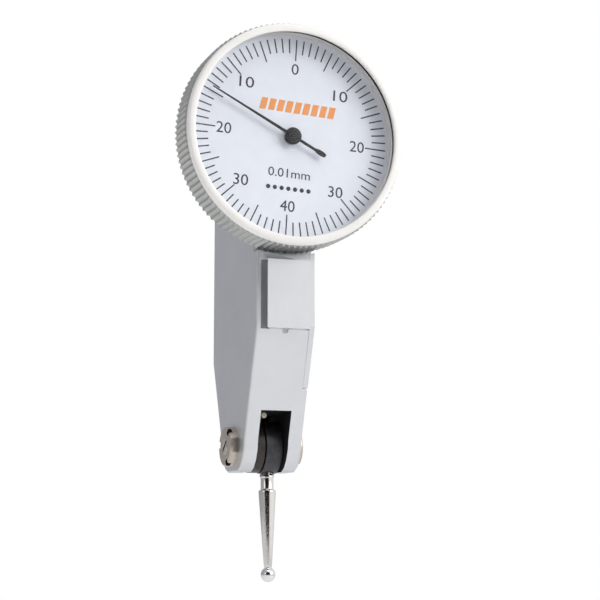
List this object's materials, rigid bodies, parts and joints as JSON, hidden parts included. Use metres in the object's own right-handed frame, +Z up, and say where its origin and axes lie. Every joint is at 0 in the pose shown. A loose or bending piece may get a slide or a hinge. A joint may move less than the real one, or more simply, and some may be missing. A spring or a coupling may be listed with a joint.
{
  "type": "dial test indicator",
  "caption": "Lever-type dial test indicator with a knurled rotating bezel, dovetail mounts, jewelled movement and a swivelling ball stylus.",
  "frame": {"origin": "centre of the front dovetail's flat face", "axes": "+Z up along the body, away from the stylus; the dial and the front dovetail face -Y; +X is to the right when reading the dial"},
  "size_m": [0.0308, 0.0259, 0.0743],
  "materials": {
    "satin_chrome": "satin chrome plated, fine matt grain",
    "bezel_metal": "pearl chrome, knurled rim",
    "plain_steel": "turned, bright",
    "nickel": "nickel plated, slightly warm",
    "black_steel": "black oxide",
    "brass": "fine turned and milled",
    "ruby": "polished synthetic ruby",
    "blue_spring": "tempered spring alloy",
    "dial_white": "matt white enamel",
    "needle_black": "black lacquer",
    "clear": "clear polished"
  },
  "bodies": {
    "frame": {"body_frame": "satin_chrome", "side_cover": "satin_chrome", "cover_screws": "plain_steel", "case_plate": "satin_chrome", "case_screws": "plain_steel", "bezel_snap_ring": "plain_steel", "pivot_bushings": "nickel", "pivot_screws": "nickel", "lever_jewels": "ruby", "train_bridge": "brass", "bridge_screws": "plain_steel", "train_jewels": "ruby", "centre_arm": "brass", "centre_jewel": "ruby", "front_bush": "brass", "hairspring": "blue_spring", "hairspring_stud": "brass", "stop_pins": "plain_steel"},
    "lever": {"lever_arm": "black_steel", "lever_axle": "plain_steel", "lever_pin": "plain_steel", "spring_peg": "plain_steel", "friction_washer": "plain_steel", "axle_clip": "plain_steel"},
    "stylus_unit": {"swivel_barrel": "black_steel", "stylus": "plain_steel", "contact_ball": "plain_steel"},
    "sector": {"sector_gear": "brass", "sector_arbor": "plain_steel"},
    "crown": {"crown_wheel": "brass", "crown_arbor": "plain_steel", "crown_pinion": "plain_steel"},
    "centre": {"centre_arbor": "plain_steel", "hairspring_collet": "brass", "needle": "needle_black", "needle_cap": "needle_black"},
    "bezel_unit": {"bezel": "bezel_metal", "crystal": "clear", "crystal_spacer": "plain_steel", "dial": "dial_white"}
  },
  "joints": [
    {"name": "lever_pivot", "type": "hinge", "parent": "frame", "child": "lever", "pos_m": [0, 0.0117, -0.0197], "axis": [1, 0, 0], "range_deg": [-1.33, 1.33], "stiffness_Nm_per_rad": 0.1},
    {"name": "stylus_swivel", "type": "hinge", "parent": "lever", "child": "stylus_unit", "pos_m": [0, 0.0117, -0.0197], "axis": [1, 0, 0], "range_deg": [-105, 105]},
    {"name": "sector_pivot", "type": "hinge", "parent": "frame", "child": "sector", "pos_m": [0, 0.0117, 0.0131], "axis": [1, 0, 0], "range_deg": [-12, 12]},
    {"name": "crown_spin", "type": "hinge", "parent": "frame", "child": "crown", "pos_m": [0, 0.0117, 0.0211], "axis": [1, 0, 0], "range_deg": [-36, 36]},
    {"name": "needle_spin", "type": "hinge", "parent": "frame", "child": "centre", "pos_m": [0, 0, 0.0211], "axis": [0, 1, 0], "range_deg": [-180, 180]},
    {"name": "bezel_turn", "type": "hinge", "parent": "frame", "child": "bezel_unit", "pos_m": [0, 0, 0.0211], "axis": [0, 1, 0], "continuous": true}
  ],
  "couplings": [
    {"joint": "sector_pivot", "follows": "lever_pivot", "ratio": -9},
    {"joint": "crown_spin", "follows": "lever_pivot", "ratio": 27},
    {"joint": "needle_spin", "follows": "lever_pivot", "ratio": -135}
  ]
}
